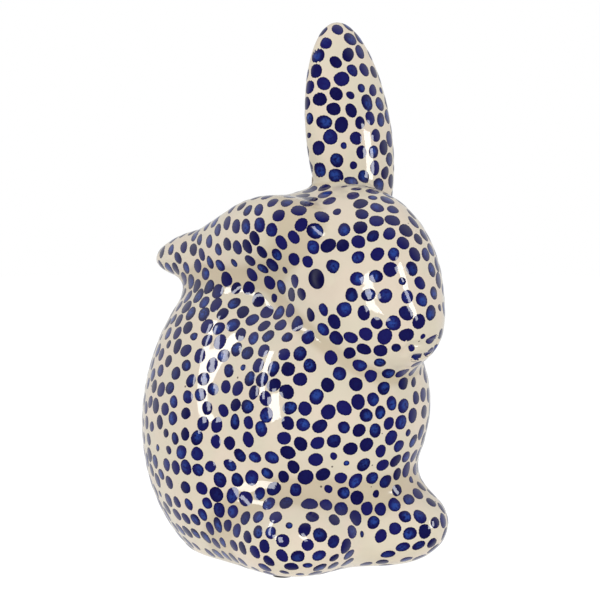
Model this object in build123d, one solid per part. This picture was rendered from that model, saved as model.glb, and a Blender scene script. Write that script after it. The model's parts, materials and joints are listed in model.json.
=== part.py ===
from build123d import *
import math
import os

# A hollow earthenware figurine of a sitting rabbit, cast in pieces that are luted together
# and fired. One ear stands, the other lies back over the shoulder, and the head is turned
# and tipped down over the chest.
#
# Millimetres. +Z is up, the rabbit faces -Y and its right side is -X. The origin is in the
# middle of the figure's box, on the surface that its felt pads stand on.
#
# Every casting is a rounded mass, modelled from egg-shaped lobes that melt into each other.
# Rings are measured off that mass and lofted, once for the outside and once, a wall further
# in, for the hollow. Where two castings meet, one is cut to the other's outside, as clay is
# pared to fit before it is luted.

# Castings: their wall, the vents and drain that let the kiln's air out, and the base's edge
wall = 4.5
vent_radius = 2.5
drain_radius = 7
base_edge_radius = 4
overrun = 2

# Felt pads: one under each foot, a little behind its middle, and two under the back of the base
pad_radius = 5.5
pad_thickness = 1
front_pad_back = 5.5
back_pad_side = 20
back_pad_back = 42

# Trunk: a tall egg, cut off flat above its lowest point
trunk_half_width = 76
trunk_half_depth = 76
trunk_half_height = 96.5
trunk_back = 16.5
base_cut = 18.5
trunk_taper_share = -0.065

# Chest
chest_half_width = 54.5
chest_half_depth = 44
chest_half_height = 58
chest_front = 43.5
chest_up = 92
chest_melt = 22

# Haunches
haunch_half_width = 38
haunch_half_depth = 42
haunch_half_height = 49
haunch_side = 30
haunch_front = 1
haunch_up = 56
haunch_melt = 14

# Neck: fills the corner between the head, the laid-back ear and the trunk's top
neck_half_width = 17.5
neck_half_depth = 20
neck_half_height = 12
neck_side = 14
neck_front = 16
neck_below_top = 18.5
neck_melt = 14

# Hind feet: their middles are sunk in the trunk's skin, and a web joins them
foot_half_width = 29.5
foot_half_length = 42
foot_half_height = 23.5
foot_side = 31.5
foot_sunk = 4.5
foot_up = 24
foot_toe_rise = 6
foot_melt = 45

# Head: its own frame is turned to the rabbit's left
head_side = 8
head_front = 52.5
head_below_top = 11
head_turn = 11
skull_half_width = 36.2
skull_half_depth = 50.5
skull_half_height = 40.5
skull_back = 5
skull_up = 7.5
muzzle_half_width = 35.5
muzzle_half_depth = 37
muzzle_half_height = 32
muzzle_front = 14.5
muzzle_down = 19.5
muzzle_tip = 28
muzzle_melt = 26
nose_half_width = 14
nose_half_depth = 13.5
nose_half_height = 14
nose_front = 40
nose_down = 25
nose_melt = 16
crown_half_width = 22
crown_half_depth = 18
crown_half_height = 14
crown_side = 10
crown_back = 30
crown_up = 24.5
crown_melt = 16

# Face: a low eye in a shallow socket on each side, and lines for the mouth and the lower lip
eye_front = 12.5
eye_up = 1.5
eye_half_length = 6.5
eye_half_height = 5.5
eye_half_depth = 4
eye_proud = 0.4
socket_half_length = 13
socket_half_height = 10
socket_half_depth = 6
socket_depth = 1.2
mouth_half_width = 12.2
mouth_corner_down = 36.6
mouth_bend_side = 9.8
mouth_bend_down = 32
mouth_middle_down = 31
lip_half_width = 5
lip_down = 39.1
line_radius = 0.9

# Upright ear, placed in the head's frame
upright_ear_half_width = 27.5
upright_ear_half_thickness = 15
upright_ear_half_height = 61.5
upright_ear_side = 15
upright_ear_back = 22.5
upright_ear_up = 72.5
upright_ear_turn = -4
upright_ear_nod = -7
upright_ear_lean = -3.5
upright_ear_taper_share = -0.05

# Laid-back ear, placed in the figure's frame: a broad root, a blade and a narrow tip
laid_ear_side = 31
laid_ear_front = 17
laid_ear_above_top = 8
laid_ear_turn = 5
laid_ear_nod = -14
laid_ear_lean = -18
ear_root_half_thickness = 15
ear_root_half_height = 21
ear_root_half_length = 38
ear_blade_half_thickness = 12.5
ear_blade_half_height = 15.5
ear_blade_half_length = 36
ear_blade_back = 46
ear_blade_down = 3
ear_blade_melt = 14
ear_tip_half_thickness = 8.5
ear_tip_half_height = 9
ear_tip_half_length = 23
ear_tip_back = 78
ear_tip_rise = 1
ear_tip_melt = 10

# Tail: its middle is sunk in the trunk's skin
tail_half_width = 17
tail_half_depth = 16
tail_half_height = 17
tail_sunk = 1
tail_up = 33

# How finely a mass is measured: the angles of its rings from pole to pole, in degrees, the
# points round each ring, and the steps of each search for the skin and for a pole
ring_angles = [5, 16, 30, 46, 63, 81, 99, 117, 134, 150, 164, 175]
points_round = 16
skin_steps = 26
pole_steps = 5
pole_ring_share = 0.995

# A tapered lobe goes on widening or narrowing this far past its middle, in half heights
taper_reach_share = 1.3


class Lobe:
    """An egg-shaped mass of clay in the frame of the piece that it belongs to."""

    def __init__(self, centre, half_sizes, nod=0, taper_share=0):
        self.centre = centre
        self.half_sizes = half_sizes
        self.nod = math.radians(nod)
        self.taper_share = taper_share

    def distance(self, point):
        """Roughly how far a point is from the lobe's skin, less than zero inside it."""
        x, y, z = (p - c for p, c in zip(point, self.centre))
        cosine, sine = math.cos(self.nod), math.sin(self.nod)
        y, z = y * cosine + z * sine, z * cosine - y * sine
        a, b, c = self.half_sizes
        height_share = max(-taper_reach_share, min(taper_reach_share, z / c))
        swell = 1 + self.taper_share * height_share
        x, y = x / swell, y / swell
        near = math.hypot(x / a, y / b, z / c)
        slope = math.hypot(x / a**2, y / b**2, z / c**2)
        return near * (near - 1) / slope if slope else -min(a, b, c)


def melt(first, second, reach):
    """The nearer of two distances, with the hollow between them filled over a reach."""
    share = max(reach - abs(first - second), 0) / reach
    return min(first, second) - share * share * reach / 4


class Mass:
    """Lobes melted together in one frame, measured along an axis through that frame."""

    def __init__(self, frame, lobes, reaches=()):
        self.frame = frame
        self.lobes = lobes
        self.reaches = reaches

    def distance(self, point):
        total = self.lobes[0].distance(point)
        for lobe, reach in zip(self.lobes[1:], self.reaches):
            total = melt(total, lobe.distance(point), reach)
        return total

    def reach(self, start, direction, inset):
        """How far the skin, moved in by an inset, lies from a start inside it."""
        near = 0
        far = 2 * sum(max(lobe.half_sizes) for lobe in self.lobes)
        for _ in range(skin_steps):
            middle = (near + far) / 2
            point = tuple(s + d * middle for s, d in zip(start, direction))
            if self.distance(point) < -inset:
                near = middle
            else:
                far = middle
        return near

    def ring_points(self, centre, inset):
        """Points of the skin all round a centre, level with it."""
        points = []
        for step in range(points_round):
            angle = 2 * math.pi * step / points_round
            direction = (math.cos(angle), math.sin(angle), 0)
            radius = self.reach(centre, direction, inset)
            points.append(tuple(c + d * radius for c, d in zip(centre, direction)))
        return points

    def pole(self, side, inset):
        """The highest point of the mass, or the lowest where side is -1."""
        x, y = 0, 0
        for _ in range(pole_steps):
            height = side * self.reach((x, y, 0), (0, 0, side), inset)
            points = self.ring_points((x, y, height * pole_ring_share), inset)
            x = sum(p[0] for p in points) / points_round
            y = sum(p[1] for p in points) / points_round
        return x, y, side * self.reach((x, y, 0), (0, 0, side), inset)

    def solid(self, inset=0):
        """The mass as a lofted solid, its skin moved in by an inset."""
        bottom = self.pole(-1, inset)
        top = self.pole(1, inset)
        rings = []
        for angle in ring_angles:
            share = (1 - math.cos(math.radians(angle))) / 2
            centre = tuple(low + (high - low) * share for low, high in zip(bottom, top))
            points = [Vector(*point) for point in self.ring_points(centre, inset)]
            rings.append(Wire([Edge.make_spline(points, periodic=True)]))
        return self.frame * Solid.make_loft(rings)


def place(x, y, z, turn=0, nod=0, lean=0):
    """Where a mass stands, and how it is turned, nodded and leant, in degrees."""
    return Pos(x, y, z) * Rot(Z=turn) * Rot(X=nod) * Rot(Y=lean)


def trunk_top():
    return 2 * trunk_half_height - base_cut


def trunk_mass():
    up = trunk_half_height - base_cut
    lobes = [
        Lobe((0, 0, 0), (trunk_half_width, trunk_half_depth, trunk_half_height),
             taper_share=trunk_taper_share),
        Lobe((0, -trunk_back - chest_front, chest_up - up),
             (chest_half_width, chest_half_depth, chest_half_height)),
    ]
    for side in (-haunch_side, haunch_side):
        lobes.append(Lobe((side, -trunk_back - haunch_front, haunch_up - up),
                          (haunch_half_width, haunch_half_depth, haunch_half_height)))
    lobes.append(Lobe((-neck_side, -trunk_back - neck_front, trunk_top() - neck_below_top - up),
                      (neck_half_width, neck_half_depth, neck_half_height)))
    return Mass(place(0, trunk_back, up), lobes,
                (chest_melt, haunch_melt, haunch_melt, neck_melt))


def trunk_skin(trunk, height, side):
    """The y of the trunk's skin at a height, ahead where side is -1 and behind where it is 1."""
    start = (0, 0, height - trunk.frame.position.Z)
    return trunk_back + side * trunk.reach(start, (0, side, 0), 0)


def feet_mass(trunk):
    """Both feet. Their own frame's z runs across, from the right foot to the left one."""
    spot = place(0, trunk_skin(trunk, foot_up, -1) + foot_sunk, foot_up, nod=-foot_toe_rise)
    lobes = [Lobe((0, 0, side), (foot_half_height, foot_half_length, foot_half_width))
             for side in (-foot_side, foot_side)]
    return Mass(spot * Rot(Y=90), lobes, (foot_melt,))


def head_place():
    return place(head_side, -head_front, trunk_top() - head_below_top, turn=head_turn)


def head_mass():
    lobes = [
        Lobe((0, skull_back, skull_up),
             (skull_half_width, skull_half_depth, skull_half_height)),
        Lobe((0, -muzzle_front, -muzzle_down),
             (muzzle_half_width, muzzle_half_depth, muzzle_half_height), nod=muzzle_tip),
        Lobe((0, -nose_front, -nose_down),
             (nose_half_width, nose_half_depth, nose_half_height)),
        Lobe((-crown_side, crown_back, crown_up),
             (crown_half_width, crown_half_depth, crown_half_height)),
    ]
    return Mass(head_place(), lobes, (muzzle_melt, nose_melt, crown_melt))


def upright_ear_mass():
    spot = place(upright_ear_side, upright_ear_back, upright_ear_up,
                 upright_ear_turn, upright_ear_nod, upright_ear_lean)
    lobe = Lobe((0, 0, 0),
                (upright_ear_half_width, upright_ear_half_thickness, upright_ear_half_height),
                taper_share=upright_ear_taper_share)
    return Mass(head_place() * spot, [lobe])


def laid_ear_mass():
    """The ear's length runs down its own frame's z, from the root at 0 to the tip."""
    spot = place(-laid_ear_side, -laid_ear_front, trunk_top() + laid_ear_above_top,
                 laid_ear_turn, laid_ear_nod, laid_ear_lean)
    lobes = [
        Lobe((0, 0, 0), (ear_root_half_thickness, ear_root_half_height, ear_root_half_length)),
        Lobe((0, -ear_blade_down, -ear_blade_back),
             (ear_blade_half_thickness, ear_blade_half_height, ear_blade_half_length)),
        Lobe((0, ear_tip_rise, -ear_tip_back),
             (ear_tip_half_thickness, ear_tip_half_height, ear_tip_half_length)),
    ]
    return Mass(spot * Rot(X=90), lobes, (ear_blade_melt, ear_tip_melt))


def tail_mass(trunk):
    lobe = Lobe((0, 0, 0), (tail_half_width, tail_half_depth, tail_half_height))
    return Mass(place(0, trunk_skin(trunk, tail_up, 1) - tail_sunk, tail_up), [lobe])


def ellipsoid(centre, half_sizes):
    return Pos(*centre) * scale(Sphere(1), by=half_sizes)


def with_face(head, outside):
    """The head's outside with its eyes, mouth and lower lip."""
    for side in (-1, 1):
        skin = side * head.reach((0, -eye_front, eye_up), (side, 0, 0), 0)
        hollow = ellipsoid((skin + side * (socket_half_depth - socket_depth), -eye_front, eye_up),
                           (socket_half_depth, socket_half_length, socket_half_height))
        eye = ellipsoid((skin + side * (eye_proud - eye_half_depth), -eye_front, eye_up),
                        (eye_half_depth, eye_half_length, eye_half_height))
        outside = outside - head.frame * hollow + head.frame * eye
    mouth = [(mouth_half_width, mouth_corner_down), (mouth_bend_side, mouth_bend_down),
             (0, mouth_middle_down),
             (-mouth_bend_side, mouth_bend_down), (-mouth_half_width, mouth_corner_down)]
    lip = [(lip_half_width, lip_down), (0, lip_down), (-lip_half_width, lip_down)]
    for spots in (mouth, lip):
        points = []
        for side, down in spots:
            front = head.reach((side, 0, -down), (0, -1, 0), 0)
            points.append((side, -front, -down))
        path = Spline(*points)
        line = sweep(Plane(path @ 0, z_dir=path % 0) * Circle(line_radius), path)
        for end in (path @ 0, path @ 1):
            line += Pos(*end) * Sphere(line_radius)
        outside -= head.frame * line
    return outside


def above(solid, height):
    """What of a solid lies above a level."""
    return split(solid, Plane.XY.offset(height), keep=Keep.TOP)


def standing(mass):
    """A mass that stands on the pads: its outside, cut flat with a rounded edge, and its hollow."""
    outside = above(mass.solid(), pad_thickness)
    flats = outside.faces().group_by(Axis.Z)[0]
    outside = fillet(flats.edges(), base_edge_radius)
    hollow = above(mass.solid(wall), pad_thickness + wall)
    return outside, hollow


def one_side(solid, side, gap):
    """What of a solid lies to one side of the figure's middle, past a gap."""
    keep = Keep.TOP if side > 0 else Keep.BOTTOM
    return split(solid, Plane.YZ.offset(side * gap), keep=keep)


def vent(inner, target):
    """A round hole from the middle of a mass out through its wall, towards a target."""
    aim = (inner.frame.inverse() * Pos(*target)).position.normalized()
    length = inner.reach((0, 0, 0), tuple(aim), 0) + overrun
    return inner.frame * Solid.make_cylinder(vent_radius, length, Plane((0, 0, 0), z_dir=aim))


def pad(x, y):
    """A felt disc on the floor."""
    return Pos(x, y, 0) * Cylinder(
        pad_radius, pad_thickness, align=(Align.CENTER, Align.CENTER, Align.MIN))


def make_pieces():
    trunk = trunk_mass()
    head = head_mass()
    upright_ear = upright_ear_mass()
    laid_ear = laid_ear_mass()
    tail = tail_mass(trunk)
    feet = feet_mass(trunk)
    feet_y = feet.frame.position.Y

    trunk_outside, trunk_hollow = standing(trunk)
    head_outside = head.solid()
    pieces = {}

    # The body's wall is pierced under every hollow piece that is luted on to it
    body = trunk_outside - trunk_hollow
    targets = [head.frame.position, tail.frame.position,
               (-foot_side, feet_y, foot_up), (foot_side, feet_y, foot_up)]
    for target in targets:
        body -= vent(trunk, target)
    body -= Pos(0, trunk_back, 0) * Cylinder(drain_radius, 2 * (pad_thickness + wall + overrun))
    pieces["body_casting"] = body

    # The head sits on the body with its neck open, and its wall is pierced under both ears
    shell = with_face(head, head_outside) - head.solid(wall) - trunk_outside
    for ear in (upright_ear, laid_ear):
        shell -= vent(head, ear.frame.position)
    pieces["head_casting"] = shell

    # The laid-back ear keeps a wall of its own where it lies on the body
    pieces["upright_ear"] = upright_ear.solid() - upright_ear.solid(wall) - head_outside
    ear_hollow = laid_ear.solid(wall) - trunk.solid(-wall)
    pieces["laid_back_ear"] = laid_ear.solid() - ear_hollow - head_outside - trunk_outside

    # The feet are one pair, parted in the middle, and each is closed there by its own wall
    feet_outside, feet_hollow = standing(feet)
    for name, side in (("right_foot", -1), ("left_foot", 1)):
        outside = one_side(feet_outside, side, 0)
        hollow = one_side(feet_hollow, side, wall)
        pieces[name] = outside - hollow - trunk_outside
    pieces["tail"] = tail.solid() - tail.solid(wall) - trunk_outside

    front_pad_y = feet_y + front_pad_back
    spots = [(-foot_side, front_pad_y), (foot_side, front_pad_y),
             (-back_pad_side, back_pad_back), (back_pad_side, back_pad_back)]
    for number, (x, y) in enumerate(spots, start=1):
        pieces[f"felt_pad_{number}"] = pad(x, y)
    return pieces


def main():
    pieces = {name: piece.solids() for name, piece in make_pieces().items()}
    box = Compound([solid for solids in pieces.values() for solid in solids]).bounding_box()
    to_origin = Pos(-box.center().X, -box.center().Y, 0)
    print("moved to the origin by", to_origin.position)
    os.makedirs("parts", exist_ok=True)
    for name, solids in pieces.items():
        placed = [to_origin * solid for solid in solids]
        print(name, len(placed))
        export_step(Compound(placed), f"parts/{name}.step")


main()
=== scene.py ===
# %% [markdown]
# # A dotted ceramic rabbit
#
# The real thing is a hollow ornament of slip-cast earthenware. Its castings are luted
# together while the clay is soft, fired, dabbed all over with cobalt blue, dipped in clear
# glaze and fired again. So it reads as one melted form with soft creases, under one coat of
# glass. This lesson makes that skin, lays the dabs on it one by one, and lights it so that
# the glaze shows.

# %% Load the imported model
import json
import math

import bmesh
import bpy
import numpy as np
from mathutils import Matrix, Vector

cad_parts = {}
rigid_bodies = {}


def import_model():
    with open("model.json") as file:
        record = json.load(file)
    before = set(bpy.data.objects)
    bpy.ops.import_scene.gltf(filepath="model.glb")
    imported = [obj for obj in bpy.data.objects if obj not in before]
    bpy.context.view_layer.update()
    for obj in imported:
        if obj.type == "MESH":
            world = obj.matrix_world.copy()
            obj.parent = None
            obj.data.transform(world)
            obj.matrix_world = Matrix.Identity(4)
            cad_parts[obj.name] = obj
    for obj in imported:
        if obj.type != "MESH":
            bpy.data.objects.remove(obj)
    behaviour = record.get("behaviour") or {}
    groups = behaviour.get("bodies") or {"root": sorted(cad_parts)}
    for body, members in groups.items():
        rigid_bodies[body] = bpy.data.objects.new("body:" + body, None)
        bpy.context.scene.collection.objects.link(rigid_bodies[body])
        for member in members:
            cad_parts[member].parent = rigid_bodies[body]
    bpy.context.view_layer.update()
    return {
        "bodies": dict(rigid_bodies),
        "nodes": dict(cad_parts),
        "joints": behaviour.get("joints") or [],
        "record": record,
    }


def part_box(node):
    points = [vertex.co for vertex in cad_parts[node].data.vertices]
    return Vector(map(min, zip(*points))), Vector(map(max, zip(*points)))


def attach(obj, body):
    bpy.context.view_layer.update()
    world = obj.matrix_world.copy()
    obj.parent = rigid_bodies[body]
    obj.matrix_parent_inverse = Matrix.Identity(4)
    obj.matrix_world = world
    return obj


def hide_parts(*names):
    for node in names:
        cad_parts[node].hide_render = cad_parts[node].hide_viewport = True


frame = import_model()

# %% [markdown]
# ## Where the figure stands
#
# The CAD model was moved so that its box is centred. One felt pad tells how far: its place
# under the right foot is known, so the difference is the move. Every size below is in metres,
# +Z is up, the rabbit faces -Y and its right side is -X.

# %% Find the move from a felt pad
pad_thickness = 0.001
foot_side = 0.0315
foot_front = 0.046657
front_pad_back = 0.0055

low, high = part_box("felt_pad_1")
pad_middle = (low + high) / 2
moved = Vector((pad_middle.x + foot_side,
                pad_middle.y + foot_front - front_pad_back, 0))
print("moved by, in mm:", [round(part * 1000, 3) for part in moved])

# %% [markdown]
# ## Clay as a distance
#
# A soft form like this has no flat faces or edges to start from. It is easier to say how far
# any point in space is from the clay. Each mass is a few egg-shaped lobes. Two lobes melt
# where their distances are nearly equal, which fills the hollow between them as clay would.
# The same rule with its sign turned carves one form out of another.

# %% Lobes, and how they melt
taper_reach_share = 1.3


class Lobe:
    """An egg-shaped mass of clay in the frame of the casting that it belongs to."""

    def __init__(self, centre, half_sizes, nod=0, taper_share=0):
        self.centre = np.array(centre, float)
        self.half_sizes = half_sizes
        self.nod = math.radians(nod)
        self.taper_share = taper_share

    def distance(self, points):
        """Roughly how far points are from the lobe's skin, less than zero inside it."""
        x, y, z = (points - self.centre).T
        cosine, sine = math.cos(self.nod), math.sin(self.nod)
        y, z = y * cosine + z * sine, z * cosine - y * sine
        a, b, c = self.half_sizes
        swell = 1 + self.taper_share * np.clip(z / c, -taper_reach_share, taper_reach_share)
        x, y = x / swell, y / swell
        near = np.sqrt((x / a) ** 2 + (y / b) ** 2 + (z / c) ** 2)
        slope = np.sqrt((x / a**2) ** 2 + (y / b**2) ** 2 + (z / c**2) ** 2)
        return near * (near - 1) / np.maximum(slope, 1 / a)


def melt(first, second, reach):
    """The nearer of two distances, with the hollow between them filled over a reach."""
    share = np.maximum(reach - np.abs(first - second), 0) / reach
    return np.minimum(first, second) - share * share * reach / 4


def carve(form, tool, reach):
    """A form with a tool's shape taken out of it, the edge rounded over a reach."""
    return -melt(-form, tool, reach)


def place(x, y, z, turn=0, nod=0, lean=0):
    """Where a casting stands, and how it is turned, nodded and leant, in degrees."""
    return (Matrix.Translation((x, y, z))
            @ Matrix.Rotation(math.radians(turn), 4, "Z")
            @ Matrix.Rotation(math.radians(nod), 4, "X")
            @ Matrix.Rotation(math.radians(lean), 4, "Y"))


# %% A mass of lobes in its own frame
class Mass:
    """Lobes melted together in one frame, then worked over with finer tools."""

    def __init__(self, frame, lobes, reaches=(), heart=(0, 0, 0)):
        self.frame = Matrix.Translation(moved) @ frame
        self.lobes = lobes
        self.reaches = reaches
        self.heart = np.array(heart, float)
        self.work = []

    def local(self, points):
        """Points of the scene, seen from the mass's own frame."""
        back = np.array(self.frame.inverted())
        return points @ back[:3, :3].T + back[:3, 3]

    def world(self, points):
        """Points of the mass's own frame, seen from the scene."""
        there = np.array(self.frame)
        return points @ there[:3, :3].T + there[:3, 3]

    def distance(self, points):
        points = self.local(points)
        total = self.lobes[0].distance(points)
        for lobe, reach in zip(self.lobes[1:], self.reaches):
            total = melt(total, lobe.distance(points), reach)
        for tool in self.work:
            total = tool(total, points)
        return total

    def reach(self, start, rays, furthest=0.2, steps=14):
        """How far the skin lies from a start inside it, along each ray."""
        near = np.zeros(len(rays))
        far = np.full(len(rays), furthest)
        for _ in range(steps):
            middle = (near + far) / 2
            inside = self.distance(self.world(start + rays * middle[:, None])) < 0
            near = np.where(inside, middle, near)
            far = np.where(inside, far, middle)
        return near


masses = {}

# %% [markdown]
# ## The trunk, the haunches and the feet
#
# The trunk is one tall egg. The chest and the two haunches melt into it, so that a shallow
# valley is left between haunch and chest, and a short neck fills the corner under the ear.
# The two feet press against each other, so they are one mass with a web between them. Half
# sizes are given as width, depth and height.

# %% Trunk and feet
trunk_half_sizes = (0.076, 0.076, 0.0965)
trunk_back = 0.0165
trunk_up = 0.078
trunk_taper_share = -0.065
chest_half_sizes = (0.0545, 0.044, 0.058)
chest_front = 0.0435
chest_up = 0.092
chest_melt = 0.022
haunch_half_sizes = (0.038, 0.042, 0.049)
haunch_side = 0.03
haunch_front = 0.001
haunch_up = 0.056
haunch_melt = 0.014
neck_half_sizes = (0.0175, 0.020, 0.012)
neck_side = 0.014
neck_front = 0.016
neck_up = 0.156
neck_melt = 0.014
foot_half_sizes = (0.0295, 0.042, 0.0235)
foot_up = 0.024
foot_toe_rise = 6
foot_melt = 0.045

haunches = [Lobe((side, -trunk_back - haunch_front, haunch_up - trunk_up), haunch_half_sizes)
            for side in (-haunch_side, haunch_side)]
masses["trunk"] = Mass(place(0, trunk_back, trunk_up), [
    Lobe((0, 0, 0), trunk_half_sizes, taper_share=trunk_taper_share),
    Lobe((0, -trunk_back - chest_front, chest_up - trunk_up), chest_half_sizes),
    *haunches,
    Lobe((-neck_side, -trunk_back - neck_front, neck_up - trunk_up), neck_half_sizes),
], (chest_melt, haunch_melt, haunch_melt, neck_melt))

masses["feet"] = Mass(
    place(0, -foot_front, foot_up),
    [Lobe((side, 0, 0), foot_half_sizes, nod=-foot_toe_rise) for side in (-foot_side, foot_side)],
    (foot_melt,))
print("masses so far:", list(masses))

# %% [markdown]
# ## The head
#
# The head is turned to the rabbit's left and tipped down over the chest: a skull, a muzzle
# that hangs from it, and a small nose. The crown fills the way to the laid-back ear, and a
# little slip fills the pit that is left between them.

# %% Head
head_side = 0.008
head_front = 0.0525
head_up = 0.1635
head_turn = 11
skull_half_sizes = (0.0362, 0.0505, 0.0405)
skull_back = 0.005
skull_up = 0.0075
muzzle_half_sizes = (0.0355, 0.037, 0.032)
muzzle_front = 0.0145
muzzle_down = 0.0195
muzzle_tip = 28
muzzle_melt = 0.026
nose_half_sizes = (0.014, 0.0135, 0.014)
nose_front = 0.040
nose_down = 0.025
nose_melt = 0.016
crown_half_sizes = (0.022, 0.018, 0.014)
crown_side = 0.010
crown_back = 0.030
crown_up = 0.0245
crown_melt = 0.016
slip_half_sizes = (0.008, 0.012, 0.007)
slip_side = 0.028
slip_back = 0.006
slip_up = 0.0290
slip_melt = 0.010

head_place = place(head_side, -head_front, head_up, turn=head_turn)
head = Mass(head_place, [
    Lobe((0, skull_back, skull_up), skull_half_sizes),
    Lobe((0, -muzzle_front, -muzzle_down), muzzle_half_sizes, nod=muzzle_tip),
    Lobe((0, -nose_front, -nose_down), nose_half_sizes),
    Lobe((-crown_side, crown_back, crown_up), crown_half_sizes),
    Lobe((-slip_side, slip_back, slip_up), slip_half_sizes),
], (muzzle_melt, nose_melt, crown_melt, slip_melt))
masses["head"] = head

# %% [markdown]
# ## Eyes and mouth
#
# The face is hardly modelled: a shallow socket with a low bulge in it on either side, a line
# for the mouth and a short one under the lip, as a thumb and a round stick leave them.

# %% Thumb the eyes in
eye_front = 0.0125
eye_up = 0.0015
eye_half_sizes = (0.004, 0.0065, 0.0055)
eye_proud = 0.0004
eye_melt = 0.003
socket_half_sizes = (0.006, 0.013, 0.010)
socket_depth = 0.0007
socket_melt = 0.006


def beside(side, front):
    """The spot on the head's skin straight out to one side, on the level of the eyes."""
    start = np.array((0, -front, eye_up))
    return start + (side * head.reach(start, np.array([(side, 0.0, 0.0)]))[0], 0, 0)


def eye_tool(side):
    """Hollows a socket in one side of the head and leaves the eye standing in it."""
    skin_x = beside(side, eye_front)[0]
    hollow_x = skin_x + side * (socket_half_sizes[0] - socket_depth)
    eye_x = skin_x + side * (eye_proud - eye_half_sizes[0])
    hollow = Lobe((hollow_x, -eye_front, eye_up), socket_half_sizes)
    eye = Lobe((eye_x, -eye_front, eye_up), eye_half_sizes)

    def work(total, points):
        total = carve(total, hollow.distance(points), socket_melt)
        return melt(total, eye.distance(points), eye_melt)
    return work


# %% Press the mouth in, and work the head over
mouth_half_width = 0.0122
mouth_corner_down = 0.0366
mouth_bend_side = 0.0098
mouth_bend_down = 0.032
mouth_middle_down = 0.031
lip_half_width = 0.005
lip_down = 0.0391
line_radius = 0.0009
line_melt = 0.003


def line_tool(spots):
    """Presses a round stick into the front of the head along spots given as side and down."""
    ahead = np.array([(0.0, -1.0, 0.0)])
    starts = np.array([(side, 0, -down) for side, down in spots])
    path = np.array([start + ahead[0] * head.reach(start, ahead) for start in starts])

    def work(total, points):
        near = np.full(len(points), np.inf)
        for start, end in zip(path[:-1], path[1:]):
            run = end - start
            share = np.clip((points - start) @ run / (run @ run), 0, 1)
            near = np.minimum(near, np.linalg.norm(points - start - share[:, None] * run, axis=1))
        return carve(total, near - line_radius, line_melt)
    return work


mouth = [(mouth_half_width, mouth_corner_down), (mouth_bend_side, mouth_bend_down),
         (0, mouth_middle_down),
         (-mouth_bend_side, mouth_bend_down), (-mouth_half_width, mouth_corner_down)]
lip = [(lip_half_width, lip_down), (-lip_half_width, lip_down)]
head.work = [eye_tool(-1), eye_tool(1), line_tool(mouth), line_tool(lip)]
print("the head is worked over with", len(head.work), "tools")

# %% [markdown]
# ## Ears and tail
#
# The standing ear is one long flat egg in the head's frame. The other lies back along the
# shoulder: a broad root, a blade and a narrow tip, with its length along its own z.

# %% Ears and tail
upright_ear_half_sizes = (0.0275, 0.015, 0.0615)
upright_ear_side = 0.015
upright_ear_back = 0.0225
upright_ear_up = 0.0725
upright_ear_turn = -4
upright_ear_nod = -7
upright_ear_lean = -3.5
upright_ear_taper_share = -0.05

laid_ear_side = 0.031
laid_ear_front = 0.017
laid_ear_up = 0.1825
laid_ear_turn = 5
laid_ear_nod = -14
laid_ear_lean = -18
ear_root_half_sizes = (0.015, 0.021, 0.038)
ear_blade_half_sizes = (0.0125, 0.0155, 0.036)
ear_blade_back = 0.046
ear_blade_down = 0.003
ear_blade_melt = 0.014
ear_tip_half_sizes = (0.0085, 0.009, 0.023)
ear_tip_back = 0.078
ear_tip_rise = 0.001
ear_tip_melt = 0.010

tail_half_sizes = (0.017, 0.016, 0.017)
tail_back = 0.0848
tail_up = 0.033

masses["upright ear"] = Mass(
    head_place @ place(upright_ear_side, upright_ear_back, upright_ear_up,
                       upright_ear_turn, upright_ear_nod, upright_ear_lean),
    [Lobe((0, 0, 0), upright_ear_half_sizes, taper_share=upright_ear_taper_share)])
masses["laid-back ear"] = Mass(
    place(-laid_ear_side, -laid_ear_front, laid_ear_up,
          laid_ear_turn, laid_ear_nod, laid_ear_lean) @ Matrix.Rotation(math.pi / 2, 4, "X"),
    [Lobe((0, 0, 0), ear_root_half_sizes),
     Lobe((0, -ear_blade_down, -ear_blade_back), ear_blade_half_sizes),
     Lobe((0, ear_tip_rise, -ear_tip_back), ear_tip_half_sizes)],
    (ear_blade_melt, ear_tip_melt), heart=(0, 0, -ear_root_half_sizes[2]))
masses["tail"] = Mass(place(0, tail_back, tail_up), [Lobe((0, 0, 0), tail_half_sizes)])
print("masses:", list(masses))

# %% [markdown]
# ## Luting them into one skin
#
# Slip fills each seam and glaze pools in it, so the masses melt into each other over a short
# reach. The base is cut flat on the level of the felt pads' tops. The skin lies a hair inside
# the CAD surface, which leaves room for the dabs of colour on top of it.

# %% The whole figure as one distance
lute_reaches = {"feet": 0.020, "head": 0.012, "upright ear": 0.006, "laid-back ear": 0.016,
                "tail": 0.010}
base_reach = 0.005
under_dabs = 0.0002
probe = 0.0002
least_steep = 0.05
tiny = 1e-12


def skin_distance(points):
    """How far points are from the finished clay."""
    total = masses["trunk"].distance(points)
    for name, reach in lute_reaches.items():
        total = melt(total, masses[name].distance(points), reach)
    base = pad_thickness - points[:, 2]
    return -melt(-total - under_dabs, -base, base_reach)


def unit(vectors):
    """Vectors made one long."""
    return vectors / np.maximum(np.linalg.norm(vectors, axis=-1, keepdims=True), tiny)


def slope_and_level(points):
    """The way the skin distance grows at each point, and the distance there."""
    corners = np.array([(1, -1, -1), (-1, -1, 1), (-1, 1, -1), (1, 1, 1)], float)
    levels = [skin_distance(points + corner * probe) for corner in corners]
    slope = sum(corner * level[:, None] for corner, level in zip(corners, levels))
    return slope / (len(corners) * probe), sum(levels) / len(corners)


def onto_skin(points, rounds=3):
    """Points slid along the slope until they lie on the skin."""
    for _ in range(rounds):
        slope, level = slope_and_level(points)
        steep = np.maximum((slope**2).sum(1), least_steep)
        points = points - slope * (level / steep)[:, None]
    return points


# %% [markdown]
# ## From distance to mesh
#
# Each mass starts as a ball whose points are pushed out to its own skin. The balls are
# joined, and the Remesh modifier turns the heap into one even net of small quads. Then every
# point slides on to the exact skin. Slip fills the tight creases there, which leaves folds in
# the net, so it is remeshed once more. Smoothing it between slides keeps the quads even.

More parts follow.
